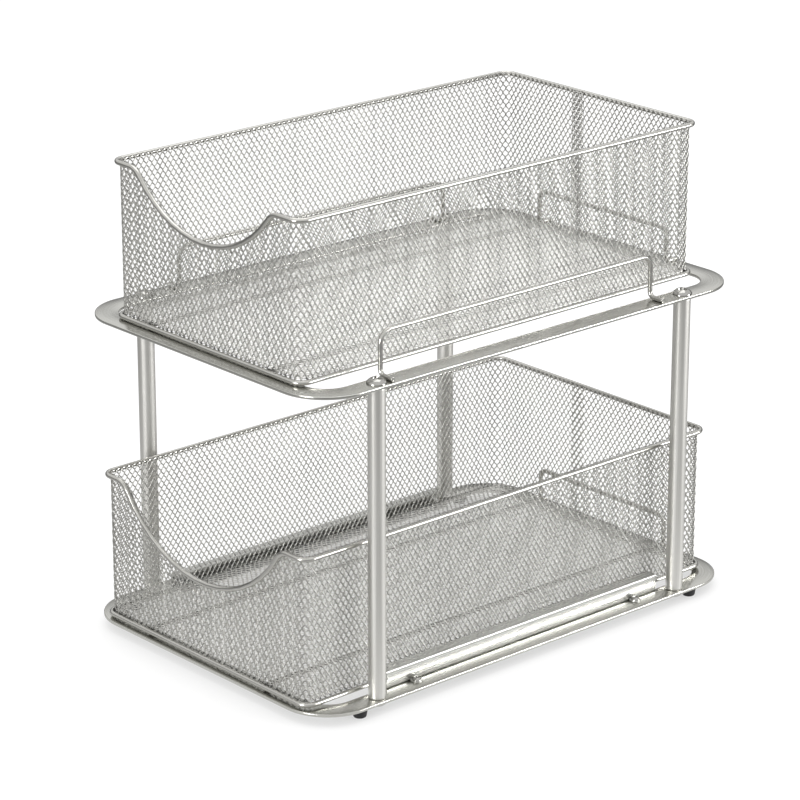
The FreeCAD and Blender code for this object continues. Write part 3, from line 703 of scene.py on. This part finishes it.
# %% Rails
RAIL_SHEET = 1.0 * MM
RAIL_BEND = 0.7 * MM
RAIL_LIP_INSET = 4.45 * MM
TAB_LENGTH = 7.0 * MM
TAB_WIDTH = 6.6 * MM
TAB_SETBACK = 21.5 * MM
TAB_CORNER = 3.2 * MM
TAB_CORNER_STEPS = 6
TAB_EDGE = 0.25 * MM


def folded_section(corners):
    """Outline of a folded sheet in x and z: the bent middle line, moved half a sheet to each side."""
    flat = [(x, 0.0, z) for x, z in corners]
    points, _, over = bent_path(flat, [RAIL_BEND] * len(flat), (0, 0, 1))
    sides = [points + side * RAIL_SHEET / 2 * over for side in (1, -1)]
    return np.concatenate([sides[0], sides[1][::-1]])[:, (0, 2)]


def tab(x, y, z, reach):
    """A flat plate with rounded corners in plan and a small rounding on its upper and lower edges."""
    outline = rounded_rectangle(reach / 2, TAB_LENGTH / 2, TAB_CORNER, TAB_CORNER_STEPS)[0]
    low, high = np.array((x, y, z)), np.array((x, y, z + RAIL_SHEET))
    path, scale = rounded_ends(upright(low, high), reach / 2, TAB_EDGE)
    return carried(outline, path, scale=scale)


def rail(side):
    """The folded section carried from front to rear, with two flat tabs on its outer side."""
    node = f"rail_{side}"
    low, high = node_box(node)
    sign = 1 if side == "right" else -1
    inner, outer = sorted((abs(low[0]), abs(high[0])))
    web = outer - TAB_WIDTH
    half = RAIL_SHEET / 2
    section = folded_section([
        (sign * inner, low[2] + half), (sign * (web - half), low[2] + half),
        (sign * (web - half), high[2] - half), (sign * (inner + RAIL_LIP_INSET), high[2] - half)])
    run = bent_path([(0, low[1], 0), (0, high[1], 0)], (0, 0), (0, 0, 1))
    reach = TAB_WIDTH + RAIL_SHEET
    tabs = [tab(sign * (outer - reach / 2), y, low[2], reach)
            for y in (low[1] + TAB_SETBACK, high[1] - TAB_SETBACK)]
    points, faces, uv = joined([carried(section, run), *tabs])
    return make_piece(f"{node}_sheet", points, faces, "frame", (node,), uv)


rails = [rail(side) for side in ("left", "right")]

# %% [markdown]
# Dome head screws
#
# A screw is turned, so its outline is carried round an axis, but its cross recess is not round. The recess
# is taken off afterwards: points of the dome that lie in one of the two arms of the cross go down, and a
# soft step at the wall of the arm keeps the edge from tearing.

# %% Screws
CROSS_SPAN = 0.5
CROSS_ARM = 0.13
CROSS_DEPTH = 0.45
CROSS_WALL = 0.03
DOME_EDGE = 0.18
DOME_RINGS = 30
SCREW_SIDES = 64
POST_SCREW = {"head": 12.5 * MM, "rise": 4.0 * MM, "shank": 5.0 * MM}
RAIL_SCREW = {"head": 5.6 * MM, "rise": 2.2 * MM, "shank": 3.0 * MM}


def soft_step(distance, width):
    """Nought to one over a width, level at both ends: 3 t squared less 2 t cubed."""
    t = np.clip(distance / width, 0.0, 1.0)
    return t * t * (3 - 2 * t)


def dome_outline(head, rise, shank, reach):
    """Radius and height from the axis at the shank's end to the axis at the top of the dome.

    The dome is part of a ball above a low upright edge: the height of the ball's middle, plus the root of
    its radius squared less that of the ring squared."""
    edge = DOME_EDGE * rise
    crown = rise - edge
    ball = (head ** 2 / 4 + crown ** 2) / (2 * crown)
    radius = head / 2 * np.linspace(1.0, 0.0, DOME_RINGS)
    dome = edge + crown - ball + np.sqrt(ball ** 2 - radius ** 2)
    first = np.array(((0.0, -reach), (shank / 2, -reach), (shank / 2, 0.0), (head / 2, 0.0)))
    return np.concatenate([first, np.column_stack([radius, dome])])


def dome_screw(head, rise, shank, reach):
    """A screw on the plane z = 0, as a grid of rings round the axis, closed to a point at both ends."""
    outline = dome_outline(head, rise, shank, reach)
    rows = len(outline)
    angles = np.arange(SCREW_SIDES) * 2 * math.pi / SCREW_SIDES
    x = outline[:, :1] * np.cos(angles)
    y = outline[:, :1] * np.sin(angles)
    z = np.repeat(outline[:, 1:], SCREW_SIDES, 1)
    arm, span = head * CROSS_ARM / 2, head * CROSS_SPAN / 2
    wall = head * CROSS_WALL
    inside = [soft_step(arm + wall - np.abs(a), wall) * soft_step(span + wall - np.abs(b), wall)
              for a, b in ((x, y), (y, x))]
    on_dome = np.arange(rows)[:, None] >= rows - DOME_RINGS
    z = z - np.where(on_dome, np.maximum(*inside) * rise * CROSS_DEPTH, 0.0)
    points = np.stack([x, y, z], -1)
    rings = points[1:-1].reshape(-1, 3)
    poles = np.stack([points[0, 0], points[-1, 0]])
    around = np.arange(SCREW_SIDES)
    after = (around + 1) % SCREW_SIDES
    last = (rows - 3) * SCREW_SIDES
    low_pole, high_pole = len(rings), len(rings) + 1
    fans = [np.stack([np.full(SCREW_SIDES, low_pole), after, around], 1),
            np.stack([np.full(SCREW_SIDES, high_pole), last + around, last + after], 1)]
    points = np.concatenate([rings, poles])
    return points, [grid_faces(rows - 2, SCREW_SIDES)[:, ::-1], *fans], points[:, :2]


def screws(node, head, rise, shank, upside_down=False):
    """Four equal screws at the corners of the box of their node."""
    low, high = node_box(node)
    reach = high[2] - low[2] - rise
    points, faces, uv = dome_screw(head, rise, shank, reach)
    seat = high[2] - rise
    if upside_down:
        points = points * (1, -1, -1)
        seat = low[2] + rise
    x, y = high[0] - head / 2, high[1] - head / 2
    places = [(sx * x, sy * y, seat) for sx in (-1, 1) for sy in (-1, 1)]
    points, faces, uv = joined([(points + place, faces, uv) for place in places])
    return make_piece(f"{node}_heads", points, faces, "frame", (node,), uv)


screw_sets = [
    screws("post_top_screws", **POST_SCREW),
    screws("post_bottom_screws", **POST_SCREW, upside_down=True),
    screws("rail_screws", **RAIL_SCREW),
]

# %% [markdown]
# Materials
#
# Every metal here is steel with a thin bright plating. What tells one piece from another is how it was made:
# strip and sheet are rolled, wire and tube are drawn, so each keeps fine lines along its run; mesh is cut
# and stretched, so its strands are matter. Wire and mesh each get two colours that paint light and shade:
# the wires under the floors are rougher and painted darker as shade, and the floor mesh is painted paler as
# light than the raised mesh of the walls, which is painted darker as shade. Colours are written as sRGB hex
# and turned into linear light.

# %% Colour and node helpers
# A Mix node has inputs of one name for each kind of data, so its colours are found by their places.
MIX_FIRST, MIX_SECOND, MIX_RESULT = 6, 7, 2
# Most of a noise lies between these two values.
NOISE_LOW, NOISE_HIGH = 0.3, 0.7


def srgb(text):
    """Linear colour of a hex code: a straight part near black, and a power of 2.4 above it."""
    parts = np.array([int(text[k:k + 2], 16) for k in (1, 3, 5)]) / 255
    linear = np.where(parts <= 0.04045, parts / 12.92, ((parts + 0.055) / 1.055) ** 2.4)
    return (*linear.tolist(), 1.0)


def add(tree, kind, inputs=None, **settings):
    """A node with its settings; an input is either a value or the socket that feeds it."""
    made = tree.nodes.new(kind)
    for name, value in settings.items():
        setattr(made, name, value)
    for name, value in (inputs or {}).items():
        if isinstance(value, bpy.types.NodeSocket):
            tree.links.new(value, made.inputs[name])
        else:
            made.inputs[name].default_value = value
    return made


def new_material(name):
    """An empty material and its node tree, with a shader that is already the surface."""
    material = bpy.data.materials.new(name)
    material.use_nodes = True
    tree = material.node_tree
    tree.nodes.clear()
    shader = add(tree, "ShaderNodeBsdfPrincipled")
    add(tree, "ShaderNodeOutputMaterial", {"Surface": shader.outputs["BSDF"]})
    return material, tree, shader


def dress(tree, shader, tone, colours, wear, gloss, metallic=1.0):
    """Colour goes from the first to the second with the tone, and roughness likewise with the wear."""
    colour = add(tree, "ShaderNodeMix", {
        "Factor": tone, MIX_FIRST: srgb(colours[0]), MIX_SECOND: srgb(colours[1])}, data_type="RGBA")
    dull = add(tree, "ShaderNodeMapRange", {
        "Value": wear, "From Min": NOISE_LOW, "From Max": NOISE_HIGH,
        "To Min": gloss[0], "To Max": gloss[1]})
    tree.links.new(colour.outputs[MIX_RESULT], shader.inputs["Base Color"])
    tree.links.new(dull.outputs["Result"], shader.inputs["Roughness"])
    shader.inputs["Metallic"].default_value = metallic


def paint(pieces, material):
    """Every piece gets this one material."""
    for piece in pieces:
        piece.data.materials.clear()
        piece.data.materials.append(material)
    print(material.name, "on", len(pieces), "pieces")

# %% Rolled and drawn metal
def drawn_metal(name, colours, gloss, line_mm, length_mm, bump_mm=0.0):
    """Plated steel with fine lines along its run.

    The lines are a noise on the piece's own UV map, which is in metres along and round it, drawn out along
    the run. They shift the colour and the roughness a little, which the eye reads as a satin grain. Real
    lines are some hundredths of a millimetre apart, too fine to show, so these are drawn coarser."""
    material, tree, shader = new_material(name)
    run = add(tree, "ShaderNodeUVMap", uv_map="run")
    stretch = add(tree, "ShaderNodeMapping", {
        "Vector": run.outputs["UV"], "Scale": (1 / (length_mm * MM), 1 / (line_mm * MM), 1.0)})
    lines = add(tree, "ShaderNodeTexNoise", {
        "Vector": stretch.outputs["Vector"], "Scale": 1.0, "Detail": 4.0, "Roughness": 0.6},
        noise_dimensions="2D")
    tone = add(tree, "ShaderNodeMapRange", {
        "Value": lines.outputs["Fac"], "From Min": NOISE_LOW, "From Max": NOISE_HIGH})
    dress(tree, shader, tone.outputs["Result"], colours, lines.outputs["Fac"], gloss)
    if bump_mm:
        relief = add(tree, "ShaderNodeBump", {
            "Height": lines.outputs["Fac"], "Strength": 0.3, "Distance": bump_mm * MM})
        tree.links.new(relief.outputs["Normal"], shader.inputs["Normal"])
    return material


# Rolled strip, satin plated: a soft mirror, so the ring goes from grey to white with what lies beyond it.
paint(rings, drawn_metal("satin_nickel_strip", ("#BBBAB4", "#CDCDC8"), (0.16, 0.26), 0.5, 40.0, 0.01))
# Folded sheet, a little duller: the web of a rail is an even, pale grey.
paint(rails, drawn_metal("nickel_rail_sheet", ("#BEBEBA", "#CBCBC7"), (0.24, 0.32), 0.6, 60.0, 0.01))
# Drawn tube, brushed: each post has two broad soft bands of light.
paint(posts, drawn_metal("nickel_post_tube", ("#CECDC8", "#DBDAD6"), (0.34, 0.42), 0.7, 120.0, 0.008))
# Drawn wire, brightly plated: a thin light line with a dark one beside it.
wire_finish = drawn_metal("bright_nickel_wire", ("#B2B1AC", "#C6C5C0"), (0.18, 0.28), 0.35, 30.0, 0.008)
paint(guards + rims, wire_finish)
# The same wire under the floors, rougher and painted darker as shade: a dark line seen through the mesh.
paint(floor_wires, drawn_metal("floor_wire_painted_shade", ("#74726D", "#8A8883"), (0.35, 0.45), 0.35, 30.0))

# %% Mesh, screws, nuts and rubber
PLATING_GRAIN = 1.2 * MM
PLATING_PATCH = 45.0 * MM
HANDLING_MARK = 2.0 * MM
ZINC_GLOSS = (0.1, 0.2)
MOULD_GRIT = 0.5 * MM
RUBBER_COLOURS = ("#121213", "#242425")
RUBBER_GLOSS = (0.675, 0.775)


def expanded_nickel(name, colours, gloss):
    """Slit and stretched sheet: strands a little grey, with patches where the plating is thinner."""
    material, tree, shader = new_material(name)
    place = add(tree, "ShaderNodeTexCoord")
    grain = add(tree, "ShaderNodeTexNoise", {
        "Vector": place.outputs["Object"], "Scale": 1 / PLATING_GRAIN, "Detail": 3.0})
    cloud = add(tree, "ShaderNodeTexNoise", {
        "Vector": place.outputs["Object"], "Scale": 1 / PLATING_PATCH, "Detail": 2.0})
    both = add(tree, "ShaderNodeMath", {0: grain.outputs["Fac"], 1: cloud.outputs["Fac"]}, operation="ADD")
    tone = add(tree, "ShaderNodeMapRange", {
        "Value": both.outputs["Value"], "From Min": 0.7, "From Max": 1.3})
    dress(tree, shader, tone.outputs["Result"], colours, grain.outputs["Fac"], gloss)
    return material


def bright_zinc(name, colours):
    """Turned and zinc plated: mirror bright, with a faint cloud of handling marks."""
    material, tree, shader = new_material(name)
    place = add(tree, "ShaderNodeTexCoord")
    marks = add(tree, "ShaderNodeTexNoise", {
        "Vector": place.outputs["Object"], "Scale": 1 / HANDLING_MARK, "Detail": 4.0})
    dress(tree, shader, marks.outputs["Fac"], colours, marks.outputs["Fac"], ZINC_GLOSS)
    return material


def black_rubber():
    """Moulded rubber: near black, dull, with the mould's grit, drawn coarser than it is so that it shows."""
    material, tree, shader = new_material("black_rubber")
    place = add(tree, "ShaderNodeTexCoord")
    grit = add(tree, "ShaderNodeTexNoise", {
        "Vector": place.outputs["Object"], "Scale": 1 / MOULD_GRIT, "Detail": 2.0})
    dress(tree, shader, grit.outputs["Fac"], RUBBER_COLOURS, grit.outputs["Fac"], RUBBER_GLOSS, metallic=0.0)
    relief = add(tree, "ShaderNodeBump", {
        "Height": grit.outputs["Fac"], "Strength": 0.4, "Distance": 0.05 * MM})
    tree.links.new(relief.outputs["Normal"], shader.inputs["Normal"])
    return material


# Raised mesh, painted darker as shade: round strands that catch light on one flank, dark on the other.
paint(walls, expanded_nickel("wall_mesh_painted_shade", ("#AFAEAA", "#BFBEBA"), (0.32, 0.44)))
# Rolled mesh, painted paler as light: flatter strands that lie open to the light from above.
paint(floors, expanded_nickel("floor_mesh_painted_light", ("#D5D4D0", "#E1E0DD"), (0.36, 0.48)))
# Turned screws: small, bright and sharp, with black lines where the dome turns away.
paint(screw_sets, bright_zinc("bright_zinc_screw", ("#A3A29E", "#BAB9B5")))
# Rubber feet: dull black dots that ground the whole organizer.
paint(feet, black_rubber())
# Nuts and post inserts, which stay as the frame has them.
kept = [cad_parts[node] for node in ("rail_nuts", "post_inserts")]
paint(kept, bright_zinc("zinc_hardware", ("#A6A5A1", "#C0BFBB")))

# %% [markdown]
# The white studio
#
# The organizer stands on white with no horizon. The floor works as a light table: it glows for the camera,
# and less so close under the organizer, which leaves a soft shadow. A white room would leave bright metal
# without any edges, so, as in a studio, grey cards lie and stand round the set, bright in front and dark
# behind. Only reflections see them, and the metal draws its lines from them. Three lamps do the rest: one
# overhead, toward the rear, for the floors, and one low on each side for the bands of the posts.

# %% Floor and world
FLOOR_HALF = 6.0
FLOOR_GLOW = 0.95
SHADE = 0.45
SHADE_REACH = 0.08
SHADE_SAMPLES = 8
WORLD_LIGHT = 0.3
WHITE = (1.0, 1.0, 1.0, 1.0)


def seen_as_background(tree):
    """One for what the camera, a mirror or clear glass sees, and nought for light that falls on things."""
    ray = add(tree, "ShaderNodeLightPath")
    both = add(tree, "ShaderNodeMath", {
        0: ray.outputs["Is Camera Ray"], 1: ray.outputs["Is Glossy Ray"]}, operation="MAXIMUM")
    any_of_them = add(tree, "ShaderNodeMath", {
        0: both.outputs["Value"], 1: ray.outputs["Is Transmission Ray"]}, operation="MAXIMUM")
    return any_of_them.outputs["Value"]


def white_floor():
    """A large plane whose glow goes down by a share where the sky above it is covered."""
    points = [(x * FLOOR_HALF, y * FLOOR_HALF, 0.0) for x, y in ((-1, -1), (1, -1), (1, 1), (-1, 1))]
    mesh = bpy.data.meshes.new("floor")
    mesh.from_pydata(points, [], [(0, 1, 2, 3)])
    floor = bpy.data.objects.new("floor", mesh)
    bpy.context.scene.collection.objects.link(floor)
    material, tree, shader = new_material("white_paper_floor")
    shader.inputs["Base Color"].default_value = srgb("#8C8C8C")
    shader.inputs["Roughness"].default_value = 0.9
    shader.inputs["Specular IOR Level"].default_value = 0.0
    shader.inputs["Emission Color"].default_value = WHITE
    open_sky = add(tree, "ShaderNodeAmbientOcclusion", {"Distance": SHADE_REACH}, samples=SHADE_SAMPLES)
    shaded = add(tree, "ShaderNodeMapRange", {
        "Value": open_sky.outputs["AO"], "To Min": FLOOR_GLOW * (1 - SHADE), "To Max": FLOOR_GLOW})
    glow = add(tree, "ShaderNodeMath", {
        0: seen_as_background(tree), 1: shaded.outputs["Result"]}, operation="MULTIPLY")
    tree.links.new(glow.outputs["Value"], shader.inputs["Emission Strength"])
    floor.data.materials.append(material)


white_floor()
world = bpy.data.worlds.new("white_studio")
world.use_nodes = True
world.node_tree.nodes.clear()
strength = add(world.node_tree, "ShaderNodeMapRange", {
    "Value": seen_as_background(world.node_tree), "To Min": WORLD_LIGHT, "To Max": 1.0})
sky = add(world.node_tree, "ShaderNodeBackground", {
    "Color": WHITE, "Strength": strength.outputs["Result"]})
add(world.node_tree, "ShaderNodeOutputWorld", {"Surface": sky.outputs["Background"]})
bpy.context.scene.world = world
print("floor glows at", FLOOR_GLOW, "and the world lights at", WORLD_LIGHT)

# %% Grey cards and lamps
CARD_SIDES = 64
CARD_RINGS = ((0.13, 0.002, 0.95, 0.95), (0.30, 0.002, 0.65, 0.65), (0.9, 0.002, 0.30, 0.30),
              (2.6, 0.002, 0.10, 0.30), (2.6, 0.35, 0.04, 0.55), (2.6, 1.15, 0.85, 0.95))
CARD_FRONT = math.radians(40.0)
CARD_TURN = 0.9
SIDE_SHARE = 0.5
BLACK = (0.0, 0.0, 0.0, 1.0)
LAMP_TARGET = np.array((0.0, 0.0, 0.15))


def grey_cards():
    """A shallow bowl of cards round the set, which only reflections see.

    Each ring has a radius, a height, and a brightness behind and in front. Round the ring the brightness
    goes from one to the other: its front share is a half plus the cosine of the direction times a turn."""
    angles = np.arange(CARD_SIDES) * 2 * math.pi / CARD_SIDES
    round_it = np.stack([np.cos(angles), np.sin(angles), np.zeros(CARD_SIDES)], 1)
    points = np.concatenate([radius * round_it + (0.0, 0.0, z) for radius, z, _, _ in CARD_RINGS])
    facing = direction(CARD_FRONT, 0.0)
    front_share = np.clip(SIDE_SHARE + CARD_TURN * round_it @ facing, 0.0, 1.0)
    bright = np.concatenate([behind + (front - behind) * front_share for _, _, behind, front in CARD_RINGS])
    mesh = bpy.data.meshes.new("grey_cards")
    mesh.from_pydata(points.tolist(), [], grid_faces(len(CARD_RINGS), CARD_SIDES).tolist())
    mesh.attributes.new("bright", "FLOAT", "POINT").data.foreach_set("value", bright.astype(np.float32))
    cards = bpy.data.objects.new("grey_cards", mesh)
    bpy.context.scene.collection.objects.link(cards)
    for ray in ("camera", "diffuse", "shadow", "transmission"):
        setattr(cards, f"visible_{ray}", False)
    material, tree, shader = new_material("grey_card")
    shader.inputs["Base Color"].default_value = BLACK
    shader.inputs["Specular IOR Level"].default_value = 0.0
    shader.inputs["Emission Color"].default_value = WHITE
    stored = add(tree, "ShaderNodeAttribute", attribute_name="bright")
    tree.links.new(stored.outputs["Fac"], shader.inputs["Emission Strength"])
    cards.data.materials.append(material)
    print("cards from", bright.min().round(2), "to", bright.max().round(2))


def soft_lamp(name, azimuth, elevation, distance, width, height, power):
    """A lamp panel that looks at the middle of the organizer from a direction given as for the camera."""
    azimuth, elevation = math.radians(azimuth), math.radians(elevation)
    light = bpy.data.lights.new(name, "AREA")
    light.shape = "RECTANGLE"
    light.size, light.size_y = width, height
    light.energy = power
    lamp = bpy.data.objects.new(name, light)
    lamp.location = LAMP_TARGET + distance * direction(azimuth, elevation)
    lamp.rotation_euler = (math.pi / 2 - elevation, 0.0, azimuth)
    lamp.visible_camera = False
    bpy.context.scene.collection.objects.link(lamp)
    print(name, power, "W over", width, "by", height, "m")


grey_cards()
soft_lamp("overhead_lamp", 228.0, 75.0, 2.0, 1.8, 1.8, 14.0)
soft_lamp("left_lamp", 10.0, 6.0, 2.2, 0.8, 0.8, 28.0)
soft_lamp("right_lamp", 128.0, 3.0, 2.2, 0.8, 0.4, 30.0)
bpy.context.scene.view_settings.view_transform = "Standard"
